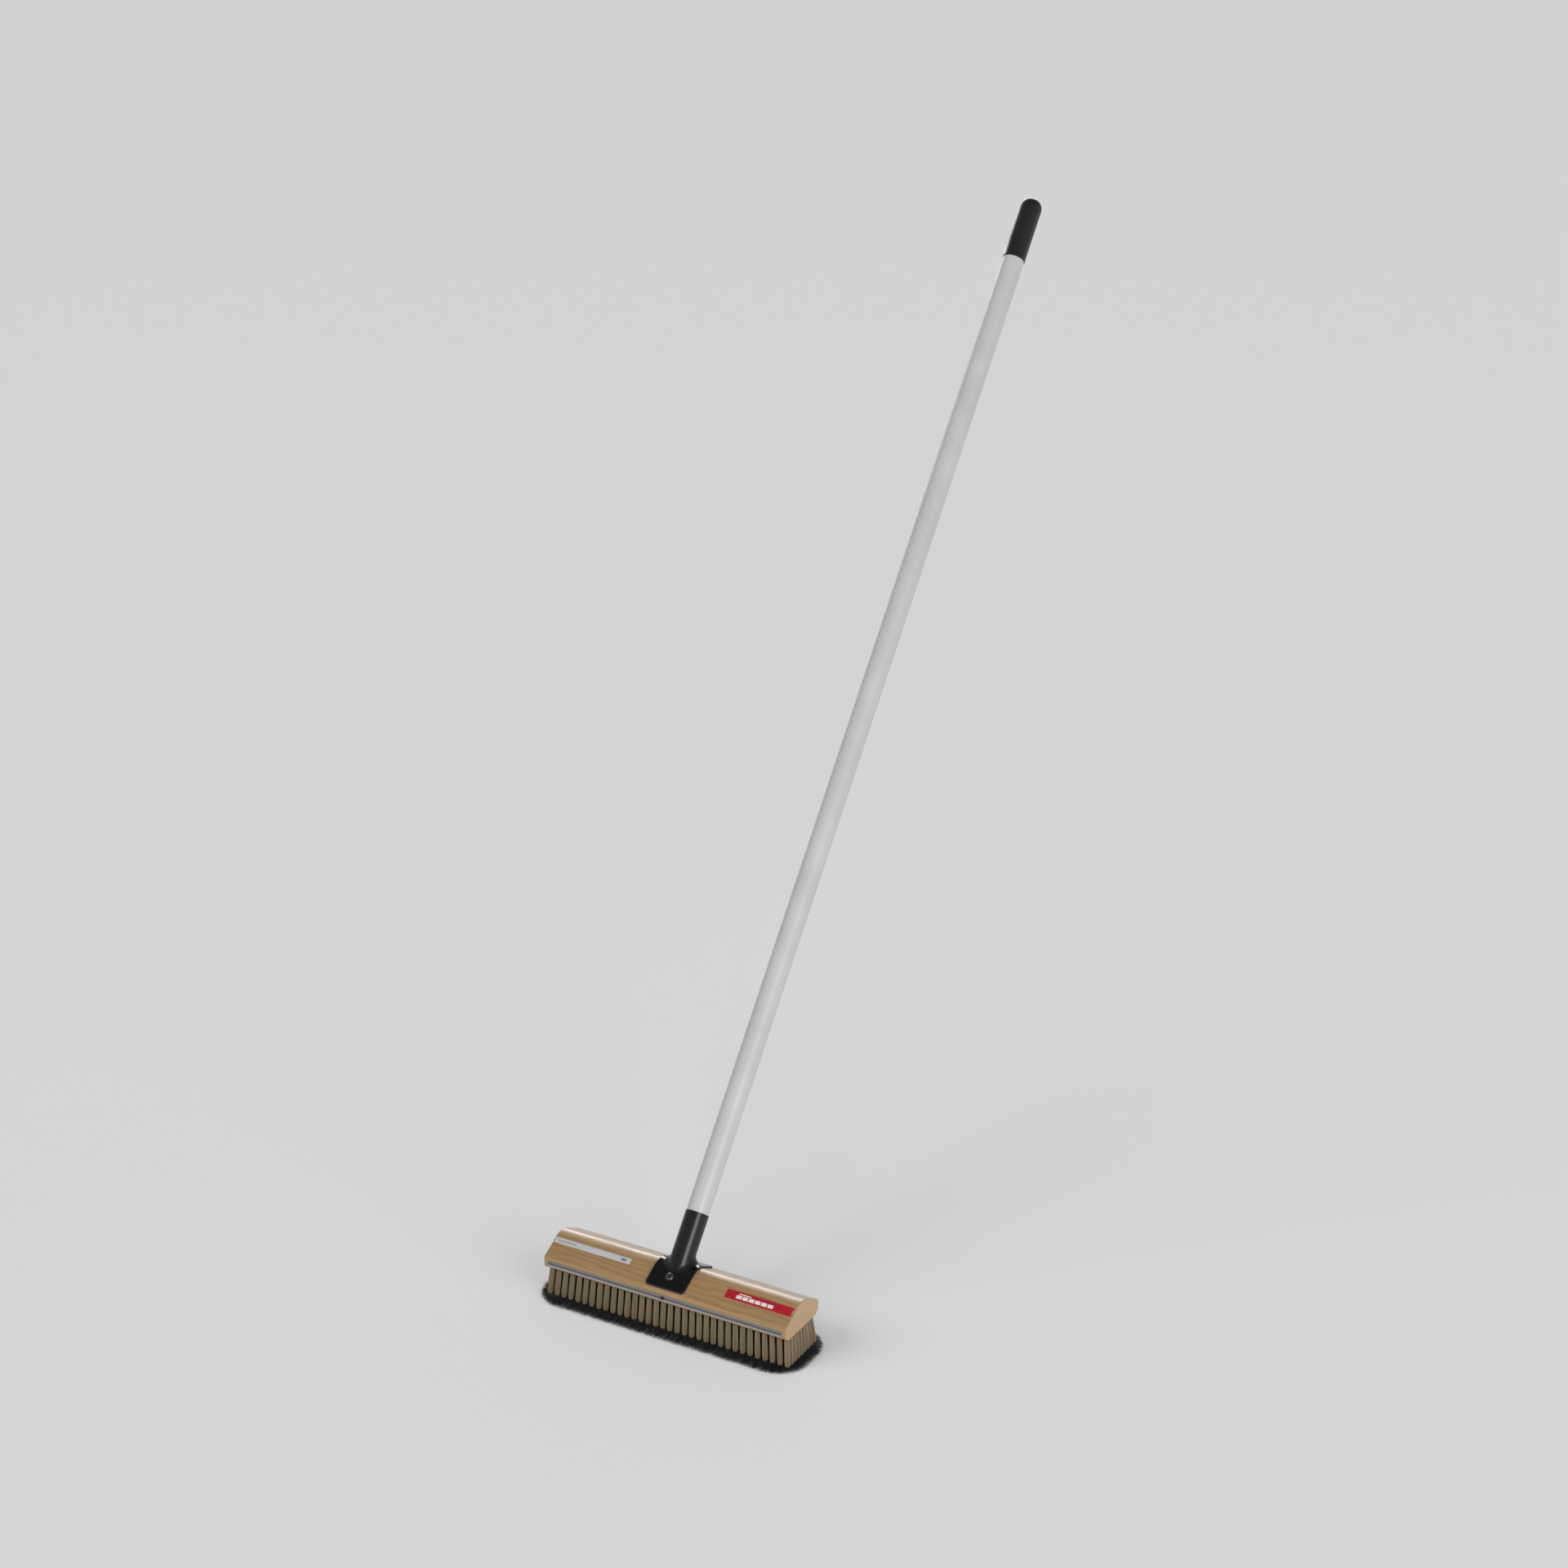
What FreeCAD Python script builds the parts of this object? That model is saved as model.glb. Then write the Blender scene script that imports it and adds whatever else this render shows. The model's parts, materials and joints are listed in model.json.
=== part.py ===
"""Push broom: wood block, drilled and filled tufts, saddle bracket and screw-in handle.

The origin is on the floor under the middle of the block, +X runs along the block,
-Y is the sweeping side, +Z is up. The handle leans back, towards +Y.
"""
import FreeCAD, Part
import math
import os
import Sketcher

V = FreeCAD.Vector
X_AXIS = V(1, 0, 0)

SIZES = {
    # wood block
    "trim_height": 42.0,
    "block_length": 355.6,
    "block_depth": 83.0,
    "base_depth": 70.0,
    "block_height": 37.2,
    "slope": 28.0,
    "crest_radius": 25.0,
    "undercut": 5.0,
    "lip_round": 6.0,
    "lip_under_round": 3.0,
    "end_round": 1.2,
    # tufts
    "hole_radius": 3.2,
    "hole_depth": 13.0,
    "long_span": 345.0,
    "long_count": 34.0,
    "cross_span": 59.0,
    "cross_count": 9.0,
    "root_radius": 3.1,
    "tip_radius": 3.6,
    "edge_tuft_lift": 2.0,
    "staple_height": 1.0,
    "staple_width": 6.0,
    "staple_thick": 0.8,
    # splayed lower ends of the inner fibres
    "fan_length": 394.0,
    "fan_depth": 116.0,
    "fan_corner": 46.0,
    "fan_thick": 6.0,
    "fan_floor": 1.6,
    "fan_recess_length": 357.0,
    "fan_recess_depth": 69.0,
    # scraper strip
    "strip_length": 343.0,
    "strip_low": 6.6,
    "strip_high": 14.2,
    "strip_depth": 2.0,
    "strip_proud": 0.5,
    "strip_gap": 0.25,
    "strip_flute": 1.1,
    # bracket
    "plate_thick": 2.5,
    "plate_width": 56.0,
    "plate_reach": 37.5,
    "plate_corner": 4.0,
    "plate_edge": 0.8,
    "seat_gap": 0.05,
    "socket_radius": 15.3,
    "socket_top": 66.2,
    "socket_root": 20.0,
    "socket_blend": 11.0,
    "bore_radius": 9.6,
    "bore_depth": 34.0,
    # bracket screws and strip screw
    "front_screw_y": -22.7,
    "rear_screw_y": 30.0,
    "screw_head_radius": 5.6,
    "screw_head_height": 3.0,
    "screw_radius": 2.4,
    "screw_length": 14.0,
    "screw_clearance": 0.2,
    "spot_radius": 6.4,
    "spot_height": 12.0,
    "pin_head_radius": 2.4,
    "pin_head_height": 1.2,
    "pin_radius": 1.4,
    "pin_length": 8.0,
    "tip_room": 1.0,
    # handle
    "handle_lean": 38.98,
    "handle_foot": 4.0,
    "tube_radius": 14.8,
    "tube_wall": 0.7,
    "tube_start": 66.4,
    "tube_end": 1498.5,
    "grip_radius": 15.7,
    "grip_start": 1433.5,
    "grip_top": 1528.2,
    "grip_fit": 0.05,
    "plug_length": 40.0,
    "stud_length": 28.0,
    "thread_radius": 9.53,
    "thread_root": 8.4,
    "thread_pitch": 5.08,
    # labels
    "label_thick": 0.3,
    "label_top_y": -13.2,
    "red_label_length": 94.0,
    "red_label_width": 13.0,
    "red_label_x": 80.0,
    "silver_label_length": 114.0,
    "silver_label_width": 8.4,
    "silver_label_x": -176.0,
}

doc = FreeCAD.newDocument("push_broom")
sheet = doc.addObject("Spreadsheet::Sheet", "Sizes")
for row, (alias, number) in enumerate(SIZES.items(), start=1):
    sheet.set(f"A{row}", alias)
    sheet.set(f"B{row}", str(number))
    sheet.setAlias(f"B{row}", alias)
doc.recompute()

SUBPARTS = []


def value(expression):
    return float(sheet.evalExpression(expression))


def new_body(label, **place):
    """A body; place gives x, y, z expressions and tilt, a turn about X in degrees."""
    body = doc.addObject("PartDesign::Body", label)
    body.Label = label
    turn = FreeCAD.Rotation(X_AXIS, value(place.get("tilt", "0")))
    body.Placement = FreeCAD.Placement(V(0, 0, 0), turn)
    for axis in ("x", "y", "z"):
        if axis in place:
            body.setExpression(f"Placement.Base.{axis}", place[axis])
    SUBPARTS.append(body)
    return body


def origin_feature(body, role):
    return next(item for item in body.Origin.OriginFeatures if item.Role == role)


def new_sketch(body, name, role, y="0", z="0", tilt="0"):
    """A sketch on an origin plane, moved in the plane's own axes and turned about X."""
    sketch = body.newObject("Sketcher::SketchObject", f"{body.Name}_{name}")
    sketch.AttachmentSupport = [(origin_feature(body, role), "")]
    sketch.MapMode = "FlatFace"
    turn = FreeCAD.Rotation(X_AXIS, value(tilt))
    sketch.AttachmentOffset = FreeCAD.Placement(V(0, value(y), value(z)), turn)
    if y != "0":
        sketch.setExpression("AttachmentOffset.Base.y", y)
    if z != "0":
        sketch.setExpression("AttachmentOffset.Base.z", z)
    return sketch


def dimension(sketch, constraint, expression):
    index = sketch.addConstraint(constraint)
    sketch.setExpression(f"Constraints[{index}]", expression)


def pin_down(sketch, curve, point, x, y):
    """Hold a point of a curve at (x, y), both expressions."""
    for expression, kind, axis in ((x, "DistanceX", -2), (y, "DistanceY", -1)):
        if abs(value(expression)) < 1e-9:
            sketch.addConstraint(Sketcher.Constraint("PointOnObject", curve, point, axis))
        else:
            rule = Sketcher.Constraint(kind, -1, 1, curve, point, value(expression))
            dimension(sketch, rule, expression)


def circle(sketch, radius, x="0", y="0"):
    centre = V(value(x), value(y), 0)
    curve = sketch.addGeometry(Part.Circle(centre, V(0, 0, 1), value(radius)))
    pin_down(sketch, curve, 3, x, y)
    dimension(sketch, Sketcher.Constraint("Radius", curve, value(radius)), radius)


def arc_between(start, end, radius, turn):
    """The short arc from start to end; turn is +1 to the left, -1 to the right."""
    chord = end - start
    side = V(-chord.y, chord.x, 0).normalize() * turn
    rise = math.sqrt(max(radius**2 - (chord.Length / 2) ** 2, 0))
    centre = (start + end) * 0.5 + side * rise
    first, last = (start, end) if turn > 0 else (end, start)
    angles = [math.atan2(spot.y - centre.y, spot.x - centre.x) for spot in (first, last)]
    return Part.ArcOfCircle(Part.Circle(centre, V(0, 0, 1), radius), *angles)


def outline(sketch, corners):
    """A closed outline. A corner is (x, y), or (x, y, radius, turn) where an arc leaves it."""
    spots = [V(value(corner[0]), value(corner[1]), 0) for corner in corners]
    curves = []
    for index, corner in enumerate(corners):
        start, end = spots[index], spots[(index + 1) % len(corners)]
        if len(corner) == 2:
            curves.append((sketch.addGeometry(Part.LineSegment(start, end)), 1, 2))
            continue
        radius, turn = corner[2:]
        curve = sketch.addGeometry(arc_between(start, end, value(radius), turn))
        dimension(sketch, Sketcher.Constraint("Radius", curve, value(radius)), radius)
        curves.append((curve, 1, 2) if turn > 0 else (curve, 2, 1))
    for index, (curve, head, tail) in enumerate(curves):
        following, next_head, _ = curves[(index + 1) % len(curves)]
        rule = Sketcher.Constraint("Coincident", curve, tail, following, next_head)
        sketch.addConstraint(rule)
        pin_down(sketch, curve, head, *corners[index][:2])


def rectangle(sketch, x_low, y_low, x_high, y_high):
    outline(sketch, [(x_low, y_low), (x_high, y_low), (x_high, y_high), (x_low, y_high)])


def feature(body, kind, name, **settings):
    """Add a PartDesign feature and recompute. Text settings are expressions."""
    made = body.newObject(f"PartDesign::{kind}", f"{body.Name}_{name}")
    for key, setting in settings.items():
        if isinstance(setting, str) and "Sizes." in setting:
            made.setExpression(key, setting)
        else:
            setattr(made, key, setting)
    body.Tip = made
    doc.recompute()
    return made


def cut(body, kind, name, **settings):
    """A feature that takes material away, and proves it."""
    before = body.Shape.Volume
    made = feature(body, kind, name, **settings)
    if body.Shape.Volume >= before - 1e-3:
        raise RuntimeError(f"{made.Name} removes nothing")
    return made


def spin(body, sketch, name="turned"):
    return feature(body, "Revolution", name, Profile=sketch,
                   ReferenceAxis=(sketch, ["V_Axis"]), Angle=360.0)


def round_edges(body, name, radius, test):
    """Fillet the edges of the body's tip that pass the test."""
    tip = body.Tip
    names = [f"Edge{number}" for number, edge in enumerate(tip.Shape.Edges, start=1) if test(edge)]
    if not names:
        raise RuntimeError(f"{name}: no edge found")
    return feature(body, "Fillet", name, Base=(tip, names), Radius=radius)


def runs_along(edge, direction):
    if len(edge.Vertexes) < 2:
        return False
    chord = edge.Vertexes[-1].Point - edge.Vertexes[0].Point
    straight = abs(chord.Length - edge.Length) < 1e-6
    return straight and abs(abs(chord.normalize().dot(direction)) - 1) < 1e-6


def ridge(offset, reach):
    """Outline of the block's top at a normal offset, left foot to right foot."""
    radius = f"(Sizes.crest_radius + {offset})"
    side = f"({radius} * sin(Sizes.slope))"
    height = f"(Sizes.block_height - Sizes.crest_radius + {radius} * cos(Sizes.slope))"
    foot = f"({height} - ({reach} - {side}) * tan(Sizes.slope))"
    return [(f"-{reach}", foot), (f"-{side}", height, radius, -1), (side, height), (reach, foot)]


def slope_height(y, offset):
    """Height of the slope at y, at a normal offset, above the block's underside."""
    return ridge(offset, y)[0][1]


def lift_over_seat(spot):
    """How far a point stands off the block's top, square to it."""
    height = spot.z - value("Sizes.block_height - Sizes.crest_radius")
    turn = min(math.atan2(abs(spot.y), height), math.radians(value("Sizes.slope")))
    return abs(spot.y) * math.sin(turn) + height * math.cos(turn) - value("Sizes.crest_radius")


def wood_block():
    body = new_body("wood_block", z="Sizes.trim_height")
    profile = new_sketch(body, "profile", "YZ_Plane")
    half, base = "Sizes.block_depth / 2", "Sizes.base_depth / 2"
    low = "Sizes.undercut"
    outline(profile, [(f"-{base}", "0"), (f"-{half}", low)] + ridge("0", half)
            + [(half, low), (base, "0")])
    feature(body, "Pad", "bar", Profile=profile, SideType="Symmetric", Length="Sizes.block_length")
    edge_y = value(half)
    foot_z = value(slope_height(half, "0"))

    def lip_edge(height):
        return lambda edge: (runs_along(edge, X_AXIS)
                             and abs(abs(edge.Vertexes[0].Y) - edge_y) < 1e-3
                             and abs(edge.Vertexes[0].Z - height) < 1e-3)

    round_edges(body, "lip", "Sizes.lip_round", lip_edge(foot_z))
    round_edges(body, "lip_under", "Sizes.lip_under_round", lip_edge(value(low)))
    end_x = value("Sizes.block_length / 2")
    round_edges(body, "ends", "Sizes.end_round",
                lambda edge: all(abs(abs(v.X) - end_x) < 1e-3 for v in edge.Vertexes)
                and edge.CenterOfMass.z > 1)
    groove = new_sketch(body, "groove", "XZ_Plane", z=half)
    rectangle(groove, "-Sizes.strip_length / 2 - Sizes.strip_gap", "Sizes.strip_low - Sizes.strip_gap",
              "Sizes.strip_length / 2 + Sizes.strip_gap", "Sizes.strip_high + Sizes.strip_gap")
    cut(body, "Pocket", "strip_groove", Profile=groove, Length="Sizes.strip_depth")
    pin = new_sketch(body, "pin", "XZ_Plane", z=half)
    circle(pin, "Sizes.pin_radius + Sizes.screw_clearance", "0",
           "(Sizes.strip_low + Sizes.strip_high) / 2")
    cut(body, "Pocket", "pin_hole", Profile=pin, Length="Sizes.pin_length + Sizes.tip_room")
    for side, spot, tilt in (("front", "-Sizes.front_screw_y", "Sizes.slope"),
                             ("rear", "Sizes.rear_screw_y", "-Sizes.slope")):
        y = f"Sizes.{side}_screw_y"
        seat = slope_height(spot, "(Sizes.plate_thick + Sizes.seat_gap)")
        pilot = new_sketch(body, f"{side}_pilot", "XY_Plane", y=y, z=seat, tilt=tilt)
        circle(pilot, "Sizes.screw_radius + Sizes.screw_clearance")
        cut(body, "Pocket", f"{side}_pilot_hole", Profile=pilot,
            Length="Sizes.screw_length + Sizes.tip_room")
    drill = new_sketch(body, "drill", "XY_Plane")
    circle(drill, "Sizes.hole_radius", "-Sizes.long_span / 2", "-Sizes.cross_span / 2")
    first = cut(body, "Pocket", "tuft_hole", Profile=drill, Length="Sizes.hole_depth", Reversed=True)
    repeat_field(body, cut, "tuft_holes", first, drill)


def repeat_field(body, add, name, first, sketch):
    """Repeat a feature over every tuft position, along the block and across it."""
    add(body, "LinearPattern", name, Originals=[first],
        Direction=(sketch, ["H_Axis"]), Length="Sizes.long_span",
        Occurrences=round(value("Sizes.long_count")),
        Direction2=(sketch, ["V_Axis"]), Length2="Sizes.cross_span",
        Occurrences2=round(value("Sizes.cross_count")))


def tuft_row(label, x, y, count, span, axis, floor_gap, tip_radius):
    """A straight row of like tufts, from their round or flat tips up into the block."""
    body = new_body(label, x=x, y=y)
    profile = new_sketch(body, "profile", "XZ_Plane")
    top = "Sizes.trim_height + Sizes.hole_depth - Sizes.staple_height"
    if tip_radius == "Sizes.root_radius":
        outline(profile, [("0", floor_gap), (tip_radius, floor_gap), (tip_radius, top), ("0", top)])
    else:
        crown = f"({tip_radius} / 2)"
        outline(profile, [("0", floor_gap), (crown, floor_gap, crown, 1),
                          (tip_radius, f"{floor_gap} + {crown}"),
                          ("Sizes.root_radius", "Sizes.trim_height"),
                          ("Sizes.root_radius", top), ("0", top)])
    tuft = spin(body, profile)
    feature(body, "LinearPattern", "row", Originals=[tuft],
            Direction=(origin_feature(body, axis), [""]), Length=span, Occurrences=count)


def tufts():
    long_step = "Sizes.long_span / (Sizes.long_count - 1)"
    cross_step = "Sizes.cross_span / (Sizes.cross_count - 1)"
    left, front = "-Sizes.long_span / 2", "-Sizes.cross_span / 2"
    long_count = round(value("Sizes.long_count"))
    cross_count = round(value("Sizes.cross_count"))
    inner_long = f"Sizes.long_span - 2 * {long_step}"
    inner_cross = f"Sizes.cross_span - 2 * {cross_step}"
    edge = ("Sizes.edge_tuft_lift", "Sizes.tip_radius")
    inner = ("Sizes.fan_floor", "Sizes.root_radius")
    tuft_row("front_tuft_row", left, front, long_count, "Sizes.long_span", "X_Axis", *edge)
    tuft_row("rear_tuft_row", left, "Sizes.cross_span / 2", long_count, "Sizes.long_span",
             "X_Axis", *edge)
    for label, x in (("left_tuft_column", left), ("right_tuft_column", "Sizes.long_span / 2")):
        tuft_row(label, x, f"{front} + {cross_step}", cross_count - 2, inner_cross, "Y_Axis", *edge)
    for number in range(1, cross_count - 1):
        tuft_row(f"black_tuft_row_{number}", f"{left} + {long_step}",
                 f"{front} + {number} * {cross_step}", long_count - 2, inner_long, "X_Axis", *inner)


def tuft_staples():
    """One flat wire anchor across the top of each tuft hole."""
    body = new_body("tuft_staples", z="Sizes.trim_height + Sizes.hole_depth - Sizes.staple_height")
    wire = new_sketch(body, "wire", "XY_Plane")
    half, thick = "Sizes.staple_width / 2", "Sizes.staple_thick / 2"
    left, front = "-Sizes.long_span / 2", "-Sizes.cross_span / 2"
    rectangle(wire, f"{left} - {half}", f"{front} - {thick}", f"{left} + {half}", f"{front} + {thick}")
    first = feature(body, "Pad", "staple", Profile=wire, Length="Sizes.staple_height")
    repeat_field(body, feature, "field", first, wire)


def fibre_fan():
    """The splayed lower ends of the black fibres: a thin bed with a thicker outer fringe."""
    body = new_body("splayed_fibre_ends")
    plan = new_sketch(body, "plan", "XY_Plane")
    half_x, half_y, bend = "Sizes.fan_length / 2", "Sizes.fan_depth / 2", "Sizes.fan_corner"
    inner_x, inner_y = f"({half_x} - {bend})", f"({half_y} - {bend})"
    outline(plan, [(f"-{inner_x}", f"-{half_y}"), (inner_x, f"-{half_y}", bend, 1),
                   (half_x, f"-{inner_y}"), (half_x, inner_y, bend, 1),
                   (inner_x, half_y), (f"-{inner_x}", half_y, bend, 1),
                   (f"-{half_x}", inner_y), (f"-{half_x}", f"-{inner_y}", bend, 1)])
    feature(body, "Pad", "slab", Profile=plan, Length="Sizes.fan_thick")
    bed = new_sketch(body, "bed", "XY_Plane", z="Sizes.fan_floor")
    bed_x, bed_y = "Sizes.fan_recess_length / 2", "Sizes.fan_recess_depth / 2"
    rectangle(bed, f"-{bed_x}", f"-{bed_y}", bed_x, bed_y)
    cut(body, "Pocket", "recess", Profile=bed, Length="Sizes.fan_thick", Reversed=True)


def scraper_strip():
    body = new_body("scraper_strip", z="Sizes.trim_height")
    profile = new_sketch(body, "profile", "YZ_Plane")
    back = "-(Sizes.block_depth / 2 - Sizes.strip_depth + Sizes.strip_gap)"
    face = "-(Sizes.block_depth / 2 + Sizes.strip_proud)"
    trough = f"{face} + Sizes.strip_flute"
    low, high = "Sizes.strip_low", "Sizes.strip_high"
    rise = f"({high} - {low})"
    outline(profile, [(back, low), (back, high), (face, high),
                      (face, f"{high} - 0.12 * {rise}"), (trough, f"{high} - 0.20 * {rise}"),
                      (trough, f"{high} - 0.60 * {rise}"), (face, f"{high} - 0.68 * {rise}"),
                      (face, low)])
    feature(body, "Pad", "bar", Profile=profile, SideType="Symmetric", Length="Sizes.strip_length")
    hole = new_sketch(body, "hole", "XZ_Plane", z="Sizes.block_depth / 2 + Sizes.strip_proud")
    circle(hole, "Sizes.pin_radius + Sizes.screw_clearance", "0", f"({low} + {high}) / 2")
    cut(body, "Pocket", "pin_hole", Profile=hole, Length="2 * Sizes.strip_depth")


def screw(label, head_radius, head_height, shank_radius, shank_length, **place):
    """A domed screw with its head's underside at its origin, pointing down."""
    body = new_body(label, **place)
    profile = new_sketch(body, "profile", "XZ_Plane")
    dome = f"({head_radius}^2 + {head_height}^2) / (2 * {head_height})"
    outline(profile, [("0", f"-{shank_length}"),
                      (shank_radius, f"-{shank_length} + {shank_radius}"),
                      (shank_radius, "0"), (head_radius, "0", dome, 1), ("0", head_height)])
    spin(body, profile)


def screws():
    seat = "Sizes.plate_thick + Sizes.seat_gap"
    head = ("Sizes.screw_head_radius", "Sizes.screw_head_height", "Sizes.screw_radius",
            "Sizes.screw_length")
    for side, spot, tilt in (("front", "-Sizes.front_screw_y", "Sizes.slope"),
                             ("rear", "Sizes.rear_screw_y", "-Sizes.slope")):
        height = slope_height(spot, f"({seat})")
        screw(f"{side}_bracket_screw", *head, y=f"Sizes.{side}_screw_y",
              z=f"Sizes.trim_height + {height}", tilt=tilt)
    screw("strip_screw", "Sizes.pin_head_radius", "Sizes.pin_head_height", "Sizes.pin_radius",
          "Sizes.pin_length", tilt="90", y="-(Sizes.block_depth / 2 + Sizes.strip_proud)",
          z="Sizes.trim_height + (Sizes.strip_low + Sizes.strip_high) / 2")


def handle_bracket():
    """Saddle over the crest, with the handle's socket rising out of it."""
    body = new_body("handle_bracket", z="Sizes.trim_height")
    over = new_sketch(body, "over", "YZ_Plane")
    reach, below = "Sizes.plate_reach", "Sizes.undercut"
    outline(over, [(f"-{reach}", below)]
            + ridge("Sizes.plate_thick + Sizes.seat_gap", reach) + [(reach, below)])
    feature(body, "Pad", "saddle", Profile=over, SideType="Symmetric", Length="Sizes.plate_width")

    lean = math.radians(value("Sizes.handle_lean"))
    axis = V(0, math.sin(lean), math.cos(lean))
    foot = V(0, value("Sizes.handle_foot"), value("Sizes.block_height"))

    def along(distance):
        return (f"Sizes.handle_foot + ({distance}) * sin(Sizes.handle_lean)",
                f"Sizes.block_height + ({distance}) * cos(Sizes.handle_lean)")

    root_y, root_z = along("-Sizes.socket_root")
    stub = new_sketch(body, "stub", "XY_Plane", y=root_y, z=root_z, tilt="-Sizes.handle_lean")
    circle(stub, "Sizes.socket_radius")
    feature(body, "Pad", "socket", Profile=stub, Length="Sizes.socket_top + Sizes.socket_root")

    def on_socket_root(edge):
        spots = [edge.valueAt(edge.FirstParameter + part * (edge.LastParameter - edge.FirstParameter))
                 for part in (0.1, 0.5, 0.9)]
        radii = [(spot - foot).cross(axis).Length for spot in spots]
        heights = [(spot - foot).dot(axis) for spot in spots]
        near = all(abs(radius - value("Sizes.socket_radius")) < 1e-3 for radius in radii)
        return near and max(heights) < value("Sizes.socket_top") - 1 and min(heights) != max(heights) \
            and not runs_along(edge, axis)

    round_edges(body, "blend", "Sizes.socket_blend", on_socket_root)
    under = new_sketch(body, "under", "YZ_Plane")
    wide = "Sizes.block_depth"
    outline(under, [(f"-{wide}", "-Sizes.block_depth")] + ridge("Sizes.seat_gap", wide)
            + [(wide, "-Sizes.block_depth")])
    cut(body, "Pocket", "hollow", Profile=under, SideType="Symmetric", Length="2 * Sizes.plate_width")
    corner_x, corner_y = value("Sizes.plate_width / 2"), value(reach)
    bend = value("Sizes.plate_corner") + 1e-3
    top_lift = value("Sizes.plate_thick + Sizes.seat_gap")
    round_edges(body, "corners", "Sizes.plate_corner",
                lambda edge: runs_along(edge, V(0, 0, 1))
                and abs(abs(edge.Vertexes[0].X) - corner_x) < 1e-3
                and abs(abs(edge.Vertexes[0].Y) - corner_y) < 1e-3)


    def on_rim(edge):
        spots = [edge.valueAt(edge.FirstParameter + part * (edge.LastParameter - edge.FirstParameter))
                 for part in (0.1, 0.5, 0.9)]
        outer = all(corner_x - abs(spot.x) < 1e-3 or corner_y - abs(spot.y) < 1e-3
                    or corner_x - abs(spot.x) < bend and corner_y - abs(spot.y) < bend
                    for spot in spots)
        return outer and all(abs(lift_over_seat(spot) - top_lift) < 1e-3 for spot in spots)

    round_edges(body, "rim", "Sizes.plate_edge", on_rim)
    rim_y, rim_z = along("Sizes.socket_top")
    bore = new_sketch(body, "bore", "XY_Plane", y=rim_y, z=rim_z, tilt="-Sizes.handle_lean")
    circle(bore, "Sizes.bore_radius")
    cut(body, "Pocket", "thread_bore", Profile=bore, Length="Sizes.bore_depth")
    for side, spot, tilt in (("front", "-Sizes.front_screw_y", "Sizes.slope"),
                             ("rear", "Sizes.rear_screw_y", "-Sizes.slope")):
        seat = slope_height(spot, "(Sizes.plate_thick + Sizes.seat_gap)")
        y = f"Sizes.{side}_screw_y"
        spot_face = new_sketch(body, f"{side}_spot", "XY_Plane", y=y, z=seat, tilt=tilt)
        circle(spot_face, "Sizes.spot_radius")
        cut(body, "Pocket", f"{side}_spot_face", Profile=spot_face, Length="Sizes.spot_height",
            Reversed=True)
        hole = new_sketch(body, f"{side}_hole", "XY_Plane", y=y, z=seat, tilt=tilt)
        circle(hole, "Sizes.screw_radius + Sizes.screw_clearance")
        cut(body, "Pocket", f"{side}_screw_hole", Profile=hole, Length="2 * Sizes.plate_thick")


def handle_part(label):
    """A body whose own Z is the handle's axis, from the middle of the block's crest."""
    return new_body(label, y="Sizes.handle_foot", z="Sizes.trim_height + Sizes.block_height",
                    tilt="-Sizes.handle_lean")


def handle_tube():
    body = handle_part("handle_tube")
    wall = new_sketch(body, "wall", "XZ_Plane")
    rectangle(wall, "Sizes.tube_radius - Sizes.tube_wall", "Sizes.tube_start",
              "Sizes.tube_radius", "Sizes.tube_end")
    spin(body, wall)


def threaded_tip():
    """Plug in the tube's end with a ridged stud below it, which screws into the bracket."""
    body = handle_part("threaded_tip")
    profile = new_sketch(body, "profile", "XZ_Plane")
    plug = "(Sizes.tube_radius - Sizes.tube_wall - Sizes.grip_fit)"
    top = "Sizes.tube_start + Sizes.plug_length"
    bottom = "(Sizes.tube_start - Sizes.stud_length)"
    corners = [("0", bottom), ("Sizes.thread_root - 1", bottom),
               ("Sizes.thread_root", f"{bottom} + 1")]
    for turn in range(5):
        start = f"{bottom} + 1.2 + {turn} * Sizes.thread_pitch"
        for step, radius in ((0.0, "root"), (0.25, "radius"), (0.5, "radius"), (0.75, "root")):
            corners.append((f"Sizes.thread_{radius}", f"{start} + {step} * Sizes.thread_pitch"))
    corners += [("Sizes.thread_root", "Sizes.tube_start"), (plug, "Sizes.tube_start"),
                (plug, top), ("0", top)]
    outline(profile, corners)
    spin(body, profile)


def end_grip():
    """Closed sleeve with a domed end, pulled over the top of the tube."""
    body = handle_part("end_grip")
    profile = new_sketch(body, "profile", "XZ_Plane")
    inner = "(Sizes.tube_radius + Sizes.grip_fit)"
    seat = "Sizes.tube_end + Sizes.grip_fit"
    shoulder = "Sizes.grip_top - Sizes.grip_radius"
    outline(profile, [(inner, "Sizes.grip_start"), ("Sizes.grip_radius", "Sizes.grip_start"),
                      ("Sizes.grip_radius", shoulder, "Sizes.grip_radius", 1),
                      ("0", "Sizes.grip_top"), ("0", seat), (inner, seat)])
    spin(body, profile)


def label_plate(name):
    """A flat label on the front slope, with its top edge just below the crest's round."""
    plate = doc.addObject("Part::Box", name)
    plate.Label = name
    turn = FreeCAD.Rotation(X_AXIS, value("Sizes.slope"))
    plate.Placement = FreeCAD.Placement(V(0, 0, 0), turn)
    low_y = f"(Sizes.label_top_y - Sizes.{name}_width * cos(Sizes.slope))"
    low_z = slope_height(f"(-{low_y})", "Sizes.seat_gap")
    for setting, expression in (("Length", f"Sizes.{name}_length"), ("Width", f"Sizes.{name}_width"),
                                ("Height", "Sizes.label_thick"),
                                ("Placement.Base.x", f"Sizes.{name}_x"),
                                ("Placement.Base.y", low_y),
                                ("Placement.Base.z", f"Sizes.trim_height + {low_z}")):
        plate.setExpression(setting, expression)
    SUBPARTS.append(plate)


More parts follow.
